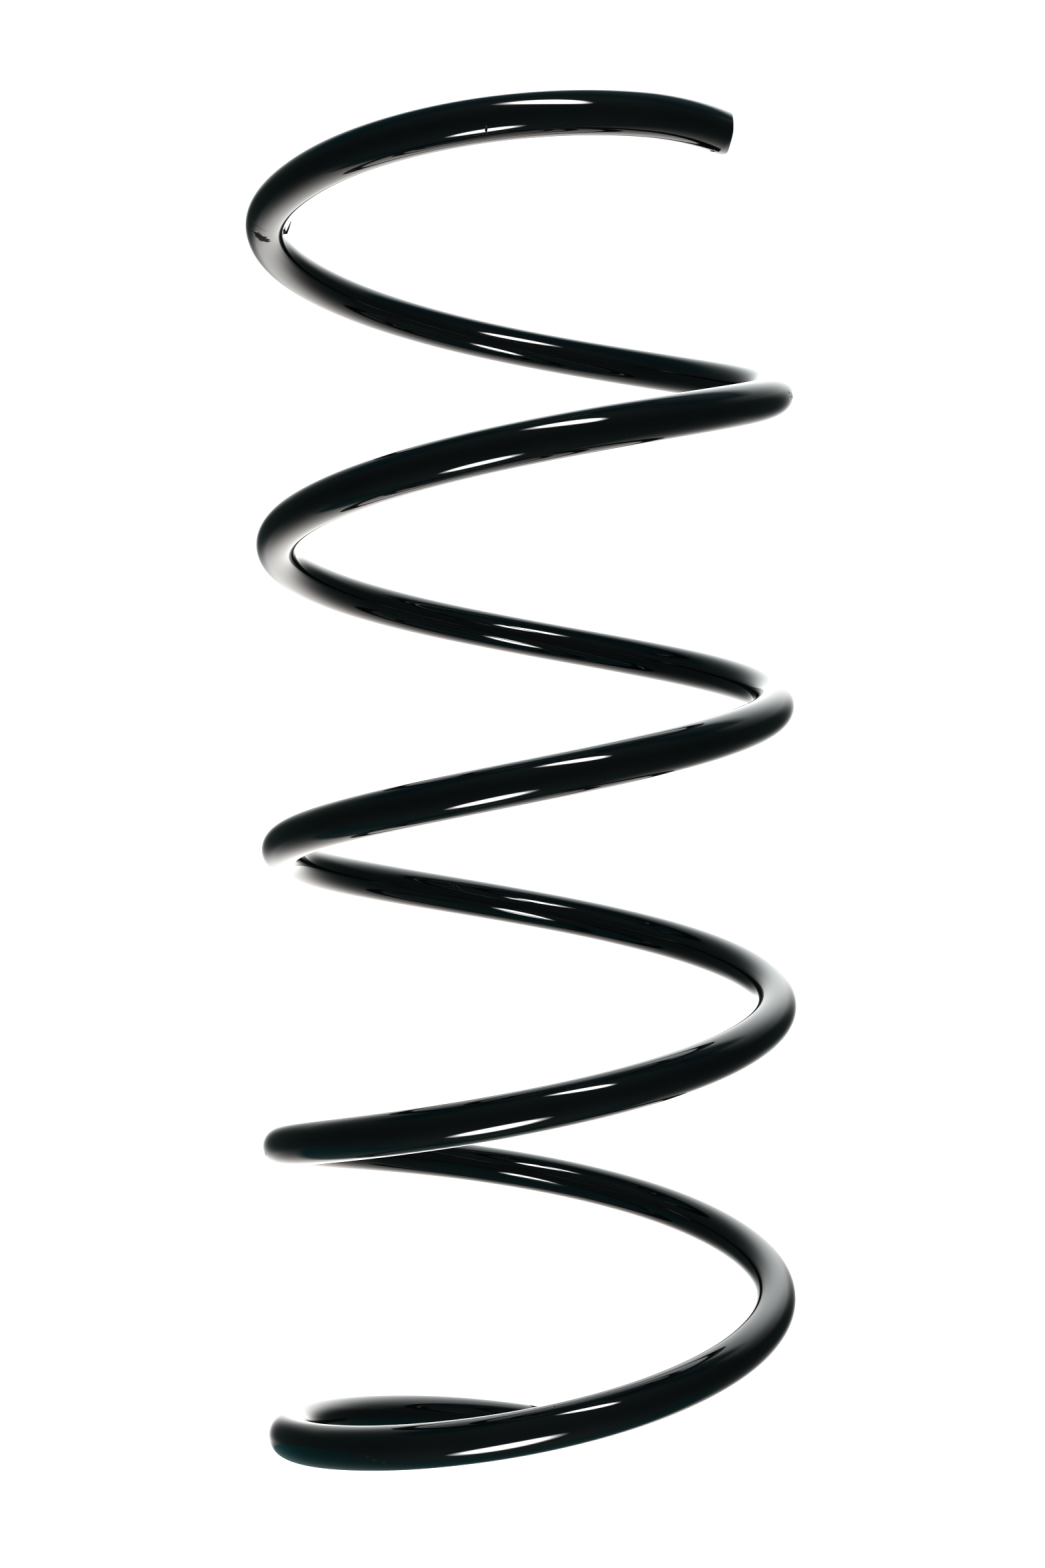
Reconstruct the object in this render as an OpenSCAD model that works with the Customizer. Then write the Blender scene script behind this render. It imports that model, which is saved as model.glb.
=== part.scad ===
// Coil spring of a car's suspension strut: one round steel bar, coated,
// wound right-handed into an open coil with both ends cut square.
// The bar is drawn as short lengths that meet face to face. Each length is an
// arc, and each arc starts in the direction in which the last one ended, so
// the bar is smooth, and it can be squeezed by turning each length about the
// bar's own centre line at the joint with the one before.
// Millimetres, +Z up the coil's axis, origin at the centre of the lower seat.

/* [Bar] */
// Diameter of the round bar
wire_d = 12.2; // [10:0.2:14]
// Width of the bevel round each cut end
end_bevel = 0.8; // [0.4:0.1:1.4]
// Clearance between one length of the bar and the next
seam_gap = 0.1; // [0.06:0.02:0.2]

/* [Coil] */
// Diameter of the coil, measured between bar centres
coil_d = 150; // [130:1:170]
// Turns in the whole bar, from cut end to cut end
turns = 4.655; // [4.2:0.005:5.2]
// Direction of the lower cut end, seen from above, from +X towards +Y
start_angle = -276; // [-360:1:0]

/* [Pitch] */
// Rise per turn at the lower cut end
low_pitch = 79; // [60:1:100]
// Rise per turn just above the lower end coil
body_pitch = 87; // [75:1:110]
// Rise per turn just below the upper end coil
upper_pitch = 93; // [75:1:110]
// Rise per turn where the bar steps up to the upper end coil
steep_pitch = 112; // [90:1:125]
// Rise per turn 0.17 of a turn before the upper cut end
closing_pitch = 53; // [35:1:80]
// Rise per turn at the upper cut end, 0 where it runs level
top_pitch = 0; // [-20:1:30]

/* [Colour] */
// Colour of the coating: red, green and blue
coat = [0.045, 0.045, 0.05];

/* [Hidden] */
NODES = [
    "wire_01", "wire_02", "wire_03", "wire_04", "wire_05", "wire_06", "wire_07",
    "wire_08", "wire_09", "wire_10", "wire_11", "wire_12", "wire_13", "wire_14",
    "wire_15", "wire_16", "wire_17", "wire_18", "wire_19", "wire_20", "wire_21",
    "wire_22", "wire_23", "wire_24", "wire_25", "wire_26", "wire_27", "wire_28"
];

wire_r = wire_d / 2;
coil_r = coil_d / 2;
count = len(NODES);
// the lengths come in pairs, and each pair spans the same angle of the coil
span = 2 * turns / count;
// turns up from the lower cut end, and the rise per turn there
pitch_rule = [
    [0, low_pitch],
    [0.5, body_pitch],
    [turns - 1.03, upper_pitch],
    [turns - 0.75, steep_pitch],
    [turns - 0.17, closing_pitch],
    [turns, top_pitch]
];

function unit(v) = v / norm(v);

// rise from the lower cut end to u turns up: the area under the pitch rule
function rise(u, i = 0) =
    i == len(pitch_rule) - 1 ? 0
    : let (
        a = pitch_rule[i],
        b = pitch_rule[i + 1],
        w = min(max(u, a[0]), b[0]) - a[0]
    )
    w * (a[1] + (b[1] - a[1]) * w / (b[0] - a[0]) / 2) + rise(u, i + 1);

// centre of the bar at u turns up, and the direction in which it runs there
function place(u) =
    let (a = start_angle + 360 * u)
    [coil_r * cos(a), coil_r * sin(a), wire_r + rise(u)];
function heading(u) =
    let (a = start_angle + 360 * u)
    unit([-sin(a), cos(a), lookup(u, pitch_rule) / (PI * coil_d)]);

// two arcs, each tangent to the next, that join p in direction s to q in direction t:
// how far out the corner points of their tangents lie
function reach(p, s, q, t) =
    let (v = q - p, c = 2 * (1 - s * t), h = v * (s + t))
    (sqrt(h * h + c * (v * v)) - h) / c;
function pair(u) =
    let (
        p = place(u),
        s = heading(u),
        q = place(u + span),
        t = heading(u + span),
        d = reach(p, s, q, t),
        a = p + d * s,
        b = q - d * t
    )
    [[p, s], [(a + b) / 2, unit(b - a)]];

// [centre, direction] of the bar at each end of every length
stations = concat(
    [for (k = [0 : count / 2 - 1]) each pair(k * span)],
    [[place(turns), heading(turns)]]
);

// the arc that leaves p in direction s and passes through q: [centre, radius, degrees, inward]
function arc_through(p, s, q) =
    let (
        c = q - p,
        inward = unit(c - (c * s) * s),
        radius = (c * c) / (2 * (c * inward))
    )
    [p + radius * inward, radius, 2 * acos((c * s) / norm(c)), inward];

// a length of round bar bent to an arc, drawn short of its stations by the clearance
module bent_bar(i) {
    p = stations[i][0];
    s = stations[i][1];
    arc = arc_through(p, s, stations[i + 1][0]);
    x = -arc[3];
    z = cross(x, s);
    per_mm = 180 / (PI * arc[1]);
    before = i == 0 ? 0 : seam_gap / 2 * per_mm;
    after = i == count - 1 ? 0 : seam_gap / 2 * per_mm;
    multmatrix([
        [x[0], s[0], z[0], arc[0][0]],
        [x[1], s[1], z[1], arc[0][1]],
        [x[2], s[2], z[2], arc[0][2]],
        [0, 0, 0, 1]
    ])
        rotate([0, 0, before])
            rotate_extrude(angle = arc[2] - before - after, $fn = 240)
                translate([arc[1], 0])
                    circle(d = wire_d, $fn = 64);
}

// what is ground off round a cut end at p, where the bar runs in direction s
module bevel(p, s) {
    translate(p)
        rotate([0, acos(s[2]), atan2(s[1], s[0])])
            rotate_extrude($fn = 64)
                polygon([
                    [wire_r - end_bevel - 1, -1],
                    [wire_r + 1, -1],
                    [wire_r + 1, end_bevel + 1]
                ]);
}

module lower_cut_length() {
    color(coat)
        difference() {
            bent_bar(0);
            bevel(stations[0][0], stations[0][1]);
        }
}

module wire_length(i) {
    color(coat) bent_bar(i);
}

module upper_cut_length() {
    color(coat)
        difference() {
            bent_bar(count - 1);
            bevel(stations[count][0], -stations[count][1]);
        }
}

lower_cut_length();
for (i = [1 : count - 2])
    wire_length(i);
upper_cut_length();
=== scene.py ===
import math

import bpy
import numpy as np
from mathutils import Matrix, Vector


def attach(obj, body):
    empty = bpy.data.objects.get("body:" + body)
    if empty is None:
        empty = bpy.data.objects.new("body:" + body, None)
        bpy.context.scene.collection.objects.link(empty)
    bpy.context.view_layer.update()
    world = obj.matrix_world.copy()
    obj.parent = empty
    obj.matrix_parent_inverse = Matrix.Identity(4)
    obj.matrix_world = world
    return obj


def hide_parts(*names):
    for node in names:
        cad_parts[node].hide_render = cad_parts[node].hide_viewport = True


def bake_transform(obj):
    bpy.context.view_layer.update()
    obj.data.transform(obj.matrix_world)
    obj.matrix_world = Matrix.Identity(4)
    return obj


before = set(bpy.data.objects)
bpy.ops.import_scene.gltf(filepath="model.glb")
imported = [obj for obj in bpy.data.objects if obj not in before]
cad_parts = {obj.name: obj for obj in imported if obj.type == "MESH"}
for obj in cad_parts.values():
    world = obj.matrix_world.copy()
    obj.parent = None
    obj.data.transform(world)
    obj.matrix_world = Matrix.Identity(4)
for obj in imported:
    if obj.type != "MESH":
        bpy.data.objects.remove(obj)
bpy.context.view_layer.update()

# ---------------------------------------------------------------- camera
scene = bpy.context.scene
camera = bpy.data.objects.new("camera", bpy.data.cameras.new("camera"))
scene.collection.objects.link(camera)
camera.location = (0.0102, -0.7144, 0.2390)
camera.rotation_euler = (math.radians(88.885), math.radians(0.485), math.radians(0.920))
camera.data.sensor_width = 36.0
camera.data.lens = 53.98
camera.data.clip_start = 0.01
camera.data.clip_end = 60.0
scene.camera = camera

scene.view_settings.view_transform = "Standard"
scene.view_settings.look = "None"

# ---------------------------------------------------------------- the coil's own rule, in metres
BAR_R = 0.0061
COIL_R = 0.075
TURNS = 4.655
START = math.radians(-276)
COUNT = 28                       # lengths of bar in the frame
NOD, NOD_TURNS = 0.0012, 0.060   # how far the last of the bar nods down, and over how many turns
# metres of rise per turn, as (turns up, pitch)
PITCH = [
    (0.0, 0.079), (0.5, 0.087), (TURNS - 1.03, 0.093),
    (TURNS - 0.75, 0.112), (TURNS - 0.17, 0.053), (TURNS, 0.0),
]
# a wound coil is not quite even: how far each part of it stands outside the even radius,
# as (turns up, metres)
GROWTH = [
    (0.0, -0.0005), (0.28, -0.0008), (0.78, -0.0008), (1.28, 0.0), (2.0, 0.0), (2.28, -0.0006),
    (2.56, 0.0), (3.4, 0.0), (3.78, 0.0005), (4.28, 0.0022), (4.37, 0.0013), (4.46, 0.0017),
    (4.62, 0.0004), (4.655, 0.0004),
]


def rise(u):
    """Height of the bar's centre line at u turns, above its lower end."""
    z = np.zeros_like(u)
    for (a, p), (b, q) in zip(PITCH[:-1], PITCH[1:]):
        w = np.clip(u, a, b) - a
        z += w * (p + (q - p) * w / (b - a) / 2)
    return z


def hump(x):
    """1 at 0, falling smoothly to 0 at -1 and 1."""
    return np.where(np.abs(x) < 1, (1 - np.clip(x * x, 0, 1)) ** 2, 0.0)


def growth(u):
    """GROWTH at u turns, eased from each knot to the next."""
    r = np.full_like(u, GROWTH[0][1])
    for (a, p), (b, q) in zip(GROWTH[:-1], GROWTH[1:]):
        w = np.clip((u - a) / (b - a), 0, 1)
        r += (q - p) * w * w * (3 - 2 * w)
    return r


def centre(u):
    """The bar's centre line at u turns."""
    a = START + 2 * np.pi * u
    r = COIL_R + growth(u)
    nod = NOD * np.clip((u - TURNS + NOD_TURNS) / NOD_TURNS, 0, 1.2) ** 1.5
    return np.stack([r * np.cos(a), r * np.sin(a), BAR_R + rise(u) - nod], -1)


def unit(v):
    return v / np.linalg.norm(v, axis=-1, keepdims=True)


def axes_at(u):
    """The bar's direction, outward and downward at u turns up."""
    t = unit(centre(u + 1e-4) - centre(u - 1e-4))
    a = START + 2 * np.pi * u
    n = np.stack([np.cos(a), np.sin(a), np.zeros_like(a)], -1)
    n = unit(n - (n * t).sum(-1, keepdims=True) * t)
    return t, n, np.cross(t, n)


PER_TURN = math.hypot(2 * math.pi * COIL_R, 0.09)   # bar length in one turn, m

# Marks in the coating: where along the bar (turns), where round it (degrees, 0 outward and
# 90 down), half length along the bar, half width round it, depth (m), slant, how bare it is.
MARKS = [
    (4.2990, 68, 0.0017, 0.0030, -0.00032, 0.42, 1.0),     # a hook's rub mark
    (4.2952, 80, 0.0016, 0.0026, -0.00022, 0.42, 0.9),
    (4.3105, 58, 0.0003, 0.0026, -0.00006, 0.10, 0.45),    # a fine crack beside it
    (4.2925, 152, 0.0008, 0.0008, 0.00030, 0.10, 0.5),     # the root of a burr on the inside
    (3.7300, 358, 0.0030, 0.0011, 0.00012, 0.0, 0.05),     # a low run in the coating
    (3.7215, 346, 0.0006, 0.0006, 0.00012, 0.0, 0.3),
    (0.4260, 18, 0.0008, 0.0006, -0.00010, 0.3, 0.8),      # specks low down
    (0.4215, 8, 0.0004, 0.0004, -0.00006, 0.0, 0.8),
    (0.4315, 26, 0.0005, 0.0003, -0.00006, 0.0, 0.6),
    (4.4993, 42, 0.0003, 0.0014, -0.00008, 0.15, 0.9),      # a nick under the top coil
    (0.5335, 284, 0.0005, 0.0004, -0.00006, 0.5, 0.6),     # and one on the lowest coil
    (3.5900, 12, 0.0004, 0.0004, 0.00006, 0.0, 0.2),
    (3.3986, -10, 0.0004, 0.0004, 0.00006, 0.0, 0.2),
    (4.6455, 92, 0.0010, 0.0007, -0.00016, 0.2, 1.0),      # a chip under the upper cut end
    (2.0750, 205, 0.0016, 0.0007, -0.00012, 0.4, 0.8),     # and a few out of sight
    (2.0790, 214, 0.0007, 0.0006, -0.00010, 0.0, 0.7),
    (1.3050, 20, 0.0010, 0.0006, -0.00010, -0.5, 0.7),
    (2.8950, 60, 0.0007, 0.0005, -0.00008, 0.2, 0.6),
    (0.0200, 268, 0.0016, 0.0010, -0.00025, 0.3, 1.0),
    (0.0150, 80, 0.0012, 0.0008, -0.00025, 0.0, 1.0),
]

# Slivers of coating that stand up: turns, degrees round, how far off the bar they start (m),
# reach along, outward and round (m), half width.
SLIVERS = [
    (4.2903, 153, 0.0, (0.0, 0.0009, 0.0002), 0.00048),
    (4.2906, 153, 0.0006, (0.0004, -0.0003, 0.0039), 0.00038),
]


def marks(u, phi):
    """(height, bareness) of the marks at u turns up and phi round the bar."""
    high = np.zeros(np.broadcast(u, phi).shape)
    bare = np.zeros_like(high)
    for at, way, length, width, depth, slant, worn in MARKS:
        x = (u - at) * PER_TURN
        y = ((phi - math.radians(way) + np.pi) % (2 * np.pi) - np.pi) * BAR_R
        way_round = np.arctan2(y / width, x / length)
        ragged = 1 + 0.22 * np.sin(5 * way_round + at * 40) \
            + 0.12 * np.sin(11 * way_round + at * 90)
        d = np.hypot((x + slant * y) / length, (y - slant * x) / width) / ragged
        high = high + depth * hump(d / 1.15)
        bare = np.maximum(bare, worn * np.clip((1.0 - d) * 5, 0, 1))
    return high, bare


def height(u, phi):
    """How far the coated surface stands off the plain round bar."""
    s = u * PER_TURN
    flow = 0.000010 * np.sin(s * 71 + 2.2 * np.cos(phi)) \
        + 0.000008 * np.sin(s * 173 + 1.3 * np.sin(phi) + 2)
    return flow + marks(u, phi)[0]


def skin(u, phi):
    """The coated surface at u turns up and phi round the bar."""
    t, n, b = axes_at(u)
    r = (BAR_R + height(u, phi))[..., None]
    return centre(u) + r * (n * np.cos(phi)[..., None] + b * np.sin(phi)[..., None])


def skin_normal(u, phi):
    """The outward normal of the coated surface there."""
    du = skin(u + 4e-6, phi) - skin(u - 4e-6, phi)
    dp = skin(u, phi + 2e-4) - skin(u, phi - 2e-4)
    n = unit(np.cross(dp, du))
    out = skin(u, phi) - centre(u)
    return n * np.sign((n * out).sum(-1, keepdims=True))


# ---------------------------------------------------------------- materials
def nodes_of(name):
    m = bpy.data.materials.new(name)
    m.use_nodes = True
    t = m.node_tree
    return m, t.nodes, t.links, t.nodes["Principled BSDF"]


def noise(n, l, vector, scale, detail=2.0, rough=0.5):
    x = n.new("ShaderNodeTexNoise")
    x.inputs["Scale"].default_value = scale
    x.inputs["Detail"].default_value = detail
    x.inputs["Roughness"].default_value = rough
    l.new(vector, x.inputs["Vector"])
    return x.outputs["Fac"]


def ramp(n, l, fac, stops):
    x = n.new("ShaderNodeValToRGB")
    e = x.color_ramp.elements
    while len(e) < len(stops):
        e.new(0.5)
    for k, (p, c) in zip(e, stops):
        k.position = p
        k.color = (*c, 1.0) if isinstance(c, tuple) else (c, c, c, 1.0)
    l.new(fac, x.inputs["Fac"])
    return x.outputs["Color"]


def math_node(n, l, op, *values):
    x = n.new("ShaderNodeMath")
    x.operation = op
    for i, v in enumerate(values):
        if isinstance(v, (int, float)):
            x.inputs[i].default_value = v
        else:
            l.new(v, x.inputs[i])
    return x.outputs[0]


def mix_color(n, l, fac, a, b):
    x = n.new("ShaderNodeMix")
    x.data_type = "RGBA"
    l.new(fac, x.inputs[0])
    for i, v in ((6, a), (7, b)):
        if isinstance(v, tuple):
            x.inputs[i].default_value = (*v, 1.0)
        else:
            l.new(v, x.inputs[i])
    return x.outputs[2]


def coating(name, gloss):
    """Deep gloss black powder coat with faint orange peel, dull where it is rubbed or chipped."""
    m, n, l, p = nodes_of(name)
    at = n.new("ShaderNodeTexCoord").outputs["Object"]
    worn = n.new("ShaderNodeAttribute")
    worn.attribute_name = "bare"
    bare = worn.outputs["Fac"]
    peel = noise(n, l, at, 260.0, 1.0, 0.4)
    drift = noise(n, l, at, 38.0, 3.0, 0.5)
    fine = noise(n, l, at, 2600.0, 2.0, 0.6)
    paint = ramp(n, l, drift, [(0.3, (0.0010, 0.0014, 0.0016)), (0.7, (0.0017, 0.0021, 0.0022))])
    dull = ramp(n, l, fine, [(0.35, (0.002, 0.002, 0.002)), (0.7, (0.011, 0.010, 0.009))])
    l.new(mix_color(n, l, bare, paint, dull), p.inputs["Base Color"])
    smooth = ramp(n, l, drift, [(0.25, 0.030), (0.75, 0.055)])
    rough = ramp(n, l, fine, [(0.3, 0.42), (0.7, 0.62)])
    l.new(mix_color(n, l, bare, smooth, rough), p.inputs["Roughness"])
    p.inputs["IOR"].default_value = 1.5
    p.inputs["Specular IOR Level"].default_value = gloss
    bump = n.new("ShaderNodeBump")
    bump.inputs["Strength"].default_value = 0.05
    bump.inputs["Distance"].default_value = 0.00002
    l.new(peel, bump.inputs["Height"])
    pits = n.new("ShaderNodeBump")
    pits.inputs["Distance"].default_value = 0.00003
    l.new(math_node(n, l, "MULTIPLY", bare, 0.8), pits.inputs["Strength"])
    l.new(fine, pits.inputs["Height"])
    l.new(bump.outputs["Normal"], pits.inputs["Normal"])
    l.new(pits.outputs["Normal"], p.inputs["Normal"])
    return m


def cut_face():
    """The sheared end under the coat: a little duller, with the shear's lines."""
    m, n, l, p = nodes_of("cut_end")
    at = n.new("ShaderNodeTexCoord").outputs["Object"]
    squeeze = n.new("ShaderNodeMapping")
    squeeze.inputs["Scale"].default_value = (1.0, 1.0, 9.0)
    l.new(at, squeeze.inputs["Vector"])
    lines = noise(n, l, squeeze.outputs["Vector"], 260.0, 4.0, 0.6)
    grain = noise(n, l, at, 1500.0, 3.0, 0.6)
    paint = ramp(n, l, lines, [(0.35, (0.0045, 0.0055, 0.0060)), (0.7, (0.012, 0.012, 0.012))])
    l.new(paint, p.inputs["Base Color"])
    l.new(ramp(n, l, grain, [(0.3, 0.16), (0.7, 0.34)]), p.inputs["Roughness"])
    p.inputs["IOR"].default_value = 1.5
    bump = n.new("ShaderNodeBump")
    bump.inputs["Strength"].default_value = 0.5
    bump.inputs["Distance"].default_value = 0.00012
    l.new(lines, bump.inputs["Height"])
    l.new(bump.outputs["Normal"], p.inputs["Normal"])
    return m


MATERIALS = [coating("coated_bar", 0.5), cut_face(), coating("worn_coat", 0.02)]
COAT_SLOT, CUT_SLOT, WORN_SLOT = range(3)


# ---------------------------------------------------------------- the bar, length by length
def stations(u0, u1):
    """Places along the bar from u0 to u1: every millimetre, and closer at a mark."""
    steps = max(8, int(round((u1 - u0) * PER_TURN / 0.001)))
    us = list(np.linspace(u0, u1, steps + 1))
    busy = False
    for at, _, length, width, *_ in MARKS:
        reach = (length + 0.0012) / PER_TURN
        if at + reach > u0 and at - reach < u1:
            busy = True
            step = 0.00016 / PER_TURN
            us += [x for x in np.arange(at - reach, at + reach, step) if u0 < x < u1]
    us = np.array(sorted(us))
    keep = [0]
    least = 0.00012 / PER_TURN
    for i in range(1, len(us) - 1):
        if us[i] - us[keep[-1]] > least and us[-1] - us[i] > least:
            keep.append(i)
    keep.append(len(us) - 1)
    return us[keep], FINE if busy else COARSE


# The shear leaves a slanting face: how far it leans along the bar towards the inside of the
# coil and towards the underside, in radii of travel per radius across.
SHEARS = {"upper": (math.tan(math.radians(40)), 0.0),
          "lower": (math.tan(math.radians(12)), math.tan(math.radians(4)))}
SOFT = 0.0016                        # the shear and the coat round the edge of the cut
SQUARE = 0.0086                      # the bar's rings are square to this far from a cut end
UPPER_SPARE = 0.0030                 # the sheared upper end is this much longer than the CAD end
FINE, COARSE = 176, 72               # points round a ring, with marks on it and without


def cut_rows(which, u_end, u_full, phi):
    """Rows from the last square ring of the bar to the middle of its slanting cut face.

    Each row is (points, normals or None, u, whether it is on the cut face).
    """
    sign = 1.0 if which == "upper" else -1.0
    lean, sag = SHEARS[which]

    def plane(rad):
        return (-lean * np.cos(phi) * sign + sag * np.sin(phi)) * rad

    c = centre(np.array([u_end]))[0]
    t = axes_at(np.array([u_end]))[0][0]
    # the shear drew the underside out further than the rest
    drawn = np.clip(np.cos(phi - math.radians(95)), 0, 1) ** 2
    soft, deep = SOFT * (1 + 2.6 * drawn), SOFT * (1 + 0.25 * drawn)
    edge = u_end + (plane(BAR_R) * sign - soft) * sign / PER_TURN
    rows = []
    for k in range(1, 17):
        q = k / 16
        uu = u_full + (edge - u_full) * q
        rows.append((skin(uu, phi), skin_normal(uu, phi), uu, False))
    ring = skin(edge, phi)
    out = unit(ring - centre(edge))
    for k in range(1, 9):
        q = k / 8 * math.pi / 2
        inner = ring - out * (deep * (1 - math.cos(q)))[:, None]
        rows.append((inner + sign * t * (soft * math.sin(q))[:, None], None, edge, False))
    rim = rows[-1][0]
    for k in range(1, 13):
        f = 1 - k / 12
        dish = 0.00012 * (1 - f * f) + 0.00003 * math.sin(9 * f)
        rows.append((c + (rim - c) * f - sign * t * dish, None, edge, True))
    return rows


def sliver(u, phi, lift, reach, width):
    """A curled sliver of coating standing on the bar: a closed, thin, tapering horn.

    `reach` is (along, outward, round).
    """
    u, phi = np.array([u]), np.array([math.radians(phi)])
    t, n, b = (v[0] for v in axes_at(u))
    out = n * math.cos(phi[0]) + b * math.sin(phi[0])
    side = np.cross(t, out)
    root = skin(u, phi)[0] + out * (lift - 0.0001)
    way = t * reach[0] + out * reach[1] + side * reach[2]
    across = unit(np.cross(way, out))
    up = unit(np.cross(across, way))
    verts, faces = [], []
    for i in range(15):
        q = i / 14
        spine = root + way * q + up * (0.00010 * math.sin(math.pi * q))
        r = width * (0.22 + 0.78 * (1 - q)) + 0.00010 * math.exp(-(q / 0.10) ** 2)
        for j in range(10):
            a = j / 10 * 2 * math.pi
            verts.append(spine + r * (math.cos(a) * across + math.sin(a) * up))
    for i in range(14):
        for j in range(10):
            k = (j + 1) % 10
            faces.append([i * 10 + j, i * 10 + k, (i + 1) * 10 + k, (i + 1) * 10 + j])
    faces.append(list(range(9, -1, -1)))
    faces.append(list(range(140, 150)))
    first, second, third = (np.array(verts[faces[0][q]]) for q in (0, 1, 2))
    outward = first - np.mean(verts[:10], axis=0)
    if np.dot(np.cross(second - first, third - first), outward) < 0:
        faces = [f[::-1] for f in faces]
    return verts, faces


def loft(name, u0, u1, lower_end=False, upper_end=False):
    """A closed length of the bar from u0 to u1, with its real surface and exact normals."""
    us, around = stations(u0, u1)
    if lower_end or upper_end:
        around = FINE
    lead = SQUARE / PER_TURN
    gap = 0.0001 / PER_TURN
    if lower_end:
        us = np.concatenate([[u0 + lead], us[us > u0 + lead + gap]])
    if upper_end:
        us = np.concatenate([us[us < u1 - lead - gap], [u1 - lead]])
    phi = np.arange(around) / around * 2 * np.pi
    uu, pp = np.meshgrid(us, phi, indexing="ij")
    rows = [(p, n, u, False) for p, n, u in zip(skin(uu, pp), skin_normal(uu, pp), uu)]
    if upper_end:
        rows = rows + cut_rows("upper", u1, us[-1], phi)
    if lower_end:
        rows = cut_rows("lower", u0, us[0], phi)[::-1] + rows
    verts, faces, slots, flat = [], [], [], []
    index = np.zeros((len(rows), around), int)
    for i, row in enumerate(rows):
        if np.ptp(row[0], axis=0).max() < 1e-7:
            index[i] = len(verts)
            verts.append(row[0][0])
        else:
            index[i] = np.arange(around) + len(verts)
            verts.extend(row[0])
    for i in range(len(rows) - 1):
        for j in range(around):
            k = (j + 1) % around
            q = [index[i][j], index[i][k], index[i + 1][k], index[i + 1][j]]
            q = [v for at, v in enumerate(q) if v not in q[:at]]
            if len(q) > 2:
                faces.append(q)
                slots.append(CUT_SLOT if rows[i][3] or rows[i + 1][3] else COAT_SLOT)
    for row, flip, there in ((0, True, lower_end), (len(rows) - 1, False, upper_end)):
        if there:
            continue
        mid = len(verts)
        verts.append(np.mean(rows[row][0], axis=0))
        for j in range(around):
            k = (j + 1) % around
            tri = [index[row][j], index[row][k], mid]
            faces.append(tri[::-1] if flip else tri)
            slots.append(COAT_SLOT)
            flat.append(len(faces) - 1)
    for at, *shape in SLIVERS:
        if u0 <= at < u1:
            more, wrap = sliver(at, *shape)
            faces.extend([[v + len(verts) for v in f] for f in wrap])
            slots.extend([COAT_SLOT] * len(wrap))
            verts.extend(more)
    me = bpy.data.meshes.new(name)
    me.from_pydata([tuple(v) for v in verts], [], [[int(v) for v in f] for f in faces])
    me.validate(clean_customdata=False)
    for material in MATERIALS:
        me.materials.append(material)
    me.polygons.foreach_set("use_smooth", [True] * len(me.polygons))
    me.update()
    # exact normals on the bar's skin, so that one length runs into the next without a line
    vn = np.array([v.normal for v in me.vertices], float)
    bare = np.full(len(me.vertices), 0.9)      # slivers are dull; the rows below say the rest
    for i, (_, normals, u, face) in enumerate(rows):
        if normals is not None:
            vn[index[i]] = normals
        bare[index[i]] = 0.0 if face else marks(u, phi)[1]
    for i, p in enumerate(me.polygons):
        if slots[i] == COAT_SLOT and sum(bare[v] for v in p.vertices) > 0.45 * len(p.vertices):
            slots[i] = WORN_SLOT
    me.polygons.foreach_set("material_index", slots)
    corner = np.zeros(len(me.loops), int)
    me.loops.foreach_get("vertex_index", corner)
    loops = vn[corner]
    for f in flat:
        p = me.polygons[f]
        for q in p.loop_indices:
            loops[q] = p.normal
    me.normals_split_custom_set([tuple(v) for v in loops])
    layer = me.attributes.new("bare", "FLOAT", "POINT")
    layer.data.foreach_set("value", bare.astype(np.float32))
    o = bpy.data.objects.new(name, me)
    scene.collection.objects.link(o)
    return o


def along(u):
    return tuple(float(x) for x in centre(np.array([u]))[0])


STEP = TURNS / COUNT
foot = loft("bar_lower_end", 0.0, 1.5 * STEP, lower_end=True)
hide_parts("wire_01", "wire_02")
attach(foot, "lower_end")
# each length between the ends, lofted in place of its CAD length
for k in range(1, 26):
    piece = loft("bar_%02d" % (k + 2), (k + 0.5) * STEP, (k + 1.5) * STEP)
    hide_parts("wire_%02d" % (k + 2))
    along((k + 0.5) * STEP)
    along((k + 1.5) * STEP)
    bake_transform(piece)
top = loft("bar_upper_end", 26.5 * STEP, TURNS + UPPER_SPARE / PER_TURN, upper_end=True)
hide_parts("wire_28")
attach(top, "upper_end")

# ---------------------------------------------------------------- floor, light
floor_mesh = bpy.data.meshes.new("floor")
floor_mesh.from_pydata([(-6, -6, 0), (6, -6, 0), (6, 6, 0), (-6, 6, 0)], [], [(0, 1, 2, 3)])
floor = bpy.data.objects.new("floor", floor_mesh)
scene.collection.objects.link(floor)
white, fn, fl, fp = nodes_of("floor_white")
cloud = noise(fn, fl, fn.new("ShaderNodeTexCoord").outputs["Object"], 3.0)
pale = ramp(fn, fl, cloud, [(0.0, (0.90, 0.90, 0.90)), (1.0, (0.94, 0.94, 0.94))])
fl.new(pale, fp.inputs["Base Color"])
fp.inputs["Roughness"].default_value = 0.9
fp.inputs["Emission Color"].default_value = (1.0, 1.0, 1.0, 1.0)
fp.inputs["Emission Strength"].default_value = 1.0
floor_mesh.materials.append(white)
floor.visible_glossy = False
floor.visible_shadow = False
floor.visible_diffuse = False


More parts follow.
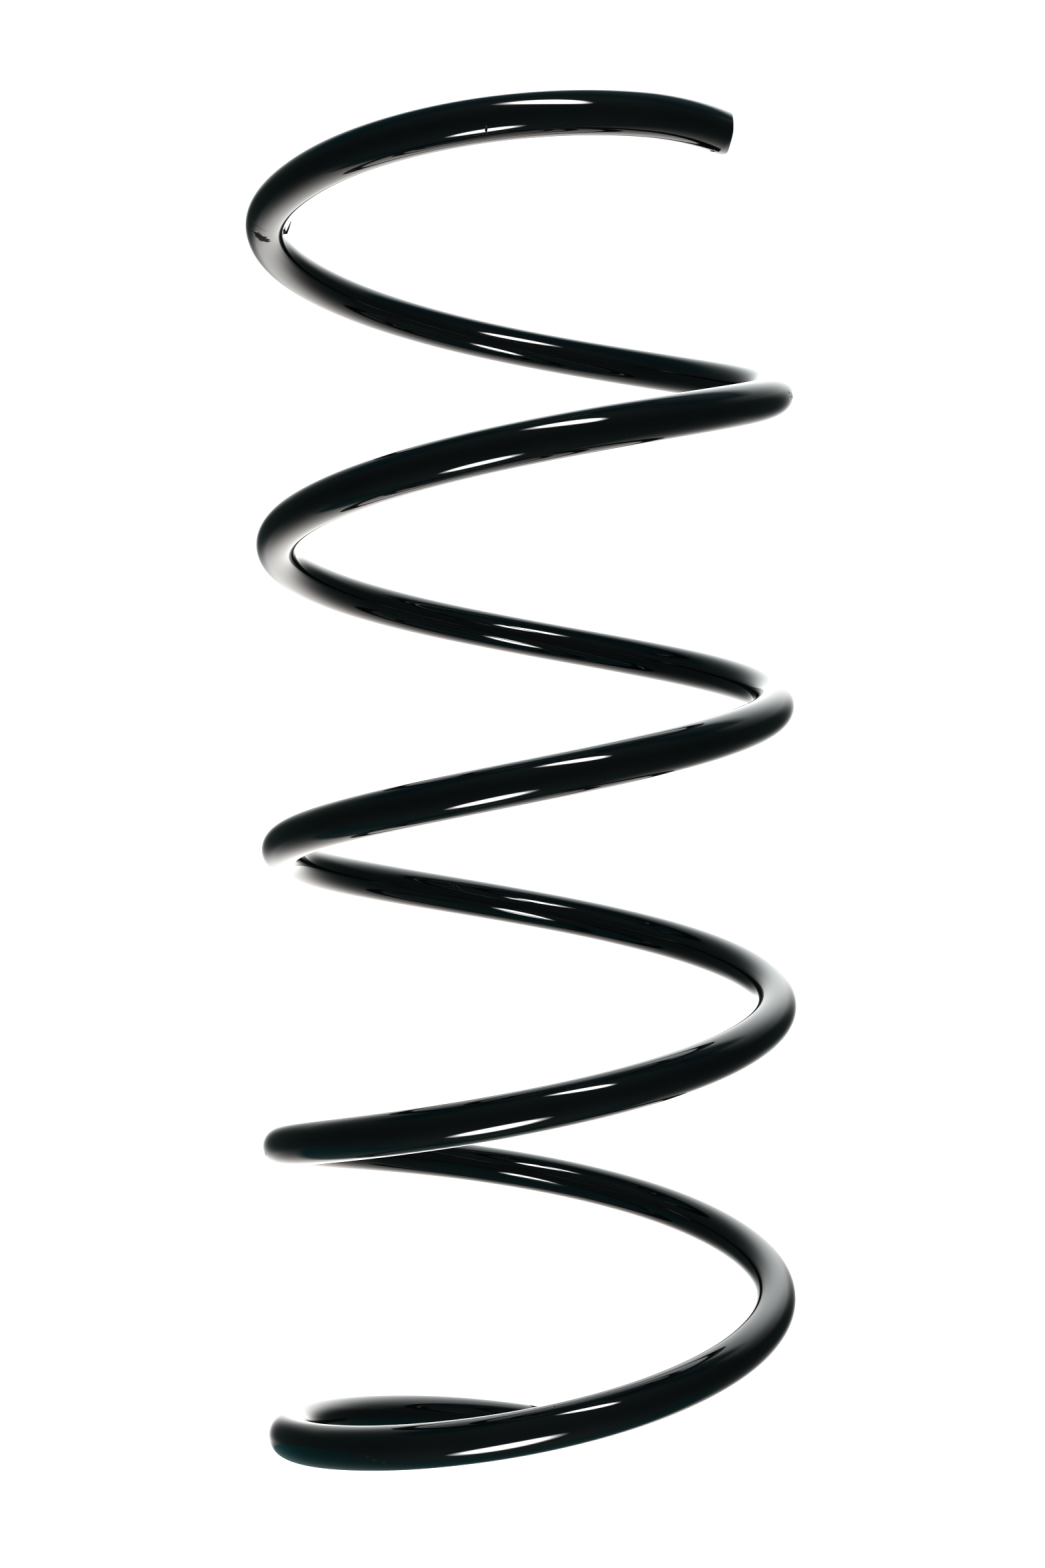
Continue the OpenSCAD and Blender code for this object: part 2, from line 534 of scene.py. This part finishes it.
def soft_box(name, at, turn, dip, spin, half_x, half_y, power, edge):
    """A glowing oval with a soft edge, seen only in reflections.

    It faces `turn` degrees from +Y towards +X and `dip` up.
    """
    a, e, r = math.radians(turn), math.radians(dip), math.radians(spin)
    face = Vector((math.sin(a) * math.cos(e), math.cos(a) * math.cos(e), math.sin(e)))
    side = face.cross(Vector((0, 0, 1))).normalized()
    over = side.cross(face)
    x = side * math.cos(r) + over * math.sin(r)
    placed = Matrix((x, (-face).cross(x), -face)).transposed().to_4x4()
    placed.translation = Vector(at)
    ring = [(half_x * math.cos(k * math.pi / 32), half_y * math.sin(k * math.pi / 32), 0)
            for k in range(64)]
    me = bpy.data.meshes.new(name)
    me.from_pydata(ring, [], [list(range(64))[::-1]])
    o = bpy.data.objects.new(name, me)
    scene.collection.objects.link(o)
    o.matrix_world = placed
    mat, n, l, plain = nodes_of(name)
    n.remove(plain)
    lamp = n.new("ShaderNodeEmission")
    fit = n.new("ShaderNodeMapping")
    fit.inputs["Scale"].default_value = (1 / half_x, 1 / half_y, 1.0)
    l.new(n.new("ShaderNodeTexCoord").outputs["Object"], fit.inputs["Vector"])
    size = n.new("ShaderNodeVectorMath")
    size.operation = "LENGTH"
    l.new(fit.outputs["Vector"], size.inputs[0])
    near = math_node(n, l, "SUBTRACT", 1.0, size.outputs["Value"])
    near = math_node(n, l, "MULTIPLY", near, 1.0 / edge)
    soft = math_node(n, l, "MINIMUM", math_node(n, l, "MAXIMUM", near, 0.0), 1.0)
    soft = math_node(n, l, "POWER", soft, 2.0)
    l.new(math_node(n, l, "MULTIPLY", soft, power), lamp.inputs["Strength"])
    l.new(lamp.outputs[0], n["Material Output"].inputs["Surface"])
    me.materials.append(mat)
    o.visible_camera = False
    o.visible_shadow = False


soft_box("soft_box_upper", (0.093, -0.348, 0.702), 23.6, -26.3, 75.2, 0.098, 0.200, 36.0, 0.38)
soft_box("soft_box_lower", (-0.034, -0.286, -0.116), -34.5, 62.5, 59.8, 0.139, 0.092, 32.0, 0.38)


def painted_reflection_card(name, at, half_x, half_y, edge_x, edge_y, dark, colour):
    """A level, nearly black card with soft edges and a faint glow, seen only in reflections: it
    paints a dark reflection onto the bar.
    """
    me = bpy.data.meshes.new(name)
    corners = [(x * half_x, y * half_y, 0) for x, y in ((-1, -1), (1, -1), (1, 1), (-1, 1))]
    me.from_pydata(corners, [], [(0, 1, 2, 3)])
    o = bpy.data.objects.new(name, me)
    scene.collection.objects.link(o)
    o.location = at
    mat, n, l, plain = nodes_of(name)
    n.remove(plain)
    where = n.new("ShaderNodeSeparateXYZ")
    l.new(n.new("ShaderNodeTexCoord").outputs["Object"], where.inputs[0])
    sides = []
    for axis, half, edge in ((0, half_x, edge_x), (1, half_y, edge_y)):
        far = math_node(n, l, "SUBTRACT", half, math_node(n, l, "ABSOLUTE", where.outputs[axis]))
        sides.append(math_node(n, l, "MINIMUM", math_node(n, l, "DIVIDE", far, edge), 1.0))
    mask = math_node(n, l, "MULTIPLY", math_node(n, l, "MULTIPLY", *sides), dark)
    clear = n.new("ShaderNodeBsdfTransparent")
    # the card's faint glow in its colour is the painted dark reflection
    black = n.new("ShaderNodeEmission")
    black.inputs["Color"].default_value = (*colour, 1.0)
    black.inputs["Strength"].default_value = 1.0
    mixed = n.new("ShaderNodeMixShader")
    l.new(mask, mixed.inputs[0])
    l.new(clear.outputs[0], mixed.inputs[1])
    l.new(black.outputs[0], mixed.inputs[2])
    l.new(mixed.outputs[0], n["Material Output"].inputs["Surface"])
    me.materials.append(mat)
    o.visible_camera = False
    o.visible_shadow = False
    o.visible_diffuse = False


# painted dark reflections: faintly glowing dark cards, one under the spring and one over it, seen
# only in the bar's reflections
PAINTED_REFLECTION_TEAL = (0.01, 0.11, 0.12)
# the stand is a painted dark reflection under the spring, not a thing the camera sees
painted_reflection_card("stand", (-0.170, -0.012, -0.001), 0.240, 0.087, 0.100, 0.030, 0.94, PAINTED_REFLECTION_TEAL)
painted_reflection_card("painted_reflection_lip", (0.045, -0.060, -0.002), 0.110, 0.040, 0.040, 0.022, 0.94, PAINTED_REFLECTION_TEAL)
painted_reflection_card("painted_reflection_canopy", (0.0, 0.040, 0.800), 0.80, 0.290, 0.20, 0.140, 0.93, (0.012, 0.075, 0.095))

world = bpy.data.worlds.new("studio")
scene.world = world
world.use_nodes = True
wn, wl = world.node_tree.nodes, world.node_tree.links
wn.clear()
way = wn.new("ShaderNodeTexCoord").outputs["Generated"]
xyz = wn.new("ShaderNodeSeparateXYZ")
wl.new(way, xyz.inputs[0])
X, Y, Z = xyz.outputs


def calc(op, *values):
    return math_node(wn, wl, op, *values)


# a tall soft-edged white backdrop: it leans a little, is narrower at eye level than above
# and below, and fades out overhead and underfoot; round it a dim room
Z2 = calc("MULTIPLY", Z, Z)
off = calc("ABSOLUTE", calc("SUBTRACT", X, calc("MULTIPLY_ADD", Z, 0.17, 0.06)))
wide = calc("MINIMUM", calc("MULTIPLY_ADD", Z2, 1.2, 0.30), 0.46)
across = calc("POWER", calc("DIVIDE", off, wide), 2.4)
over = calc("POWER", calc("DIVIDE", calc("MAXIMUM", Z, 0.0), 0.93), 8.0)
under = calc("POWER", calc("DIVIDE", calc("MAXIMUM", calc("MULTIPLY", Z, -1.0), 0.0), 0.95), 10.0)
fall = calc("POWER", math.e, calc("MULTIPLY", calc("ADD", calc("ADD", across, over), under), -1.0))
ahead = calc("MINIMUM", calc("MAXIMUM", calc("DIVIDE", Y, 0.25), 0.0), 1.0)
glow = wn.new("ShaderNodeBackground")
# a little cooler overhead, a little warmer underfoot
tint = ramp(wn, wl, calc("MULTIPLY_ADD", Z, 0.5, 0.5), [
    (0.12, (1.0, 0.93, 0.89)), (0.34, (1.0, 0.985, 0.96)),
    (0.66, (0.98, 1.0, 0.98)), (0.90, (0.92, 0.985, 1.0)),
])
wl.new(tint, glow.inputs["Color"])
wl.new(calc("MULTIPLY", calc("MULTIPLY", fall, ahead), 2.75), glow.inputs["Strength"])
room = wn.new("ShaderNodeBackground")
room.inputs["Color"].default_value = (0.66, 1.0, 0.98, 1.0)
wl.new(calc("MULTIPLY_ADD", Z2, 0.10, 0.058), room.inputs["Strength"])
both = wn.new("ShaderNodeAddShader")
wl.new(glow.outputs[0], both.inputs[0])
wl.new(room.outputs[0], both.inputs[1])
seen = wn.new("ShaderNodeBackground")
seen.inputs["Color"].default_value = (1.0, 1.0, 1.0, 1.0)
seen.inputs["Strength"].default_value = 1.05
path = wn.new("ShaderNodeLightPath")
pick = wn.new("ShaderNodeMixShader")
wl.new(path.outputs["Is Camera Ray"], pick.inputs[0])
wl.new(both.outputs[0], pick.inputs[1])
wl.new(seen.outputs[0], pick.inputs[2])
out = wn.new("ShaderNodeOutputWorld")
wl.new(pick.outputs[0], out.inputs["Surface"])
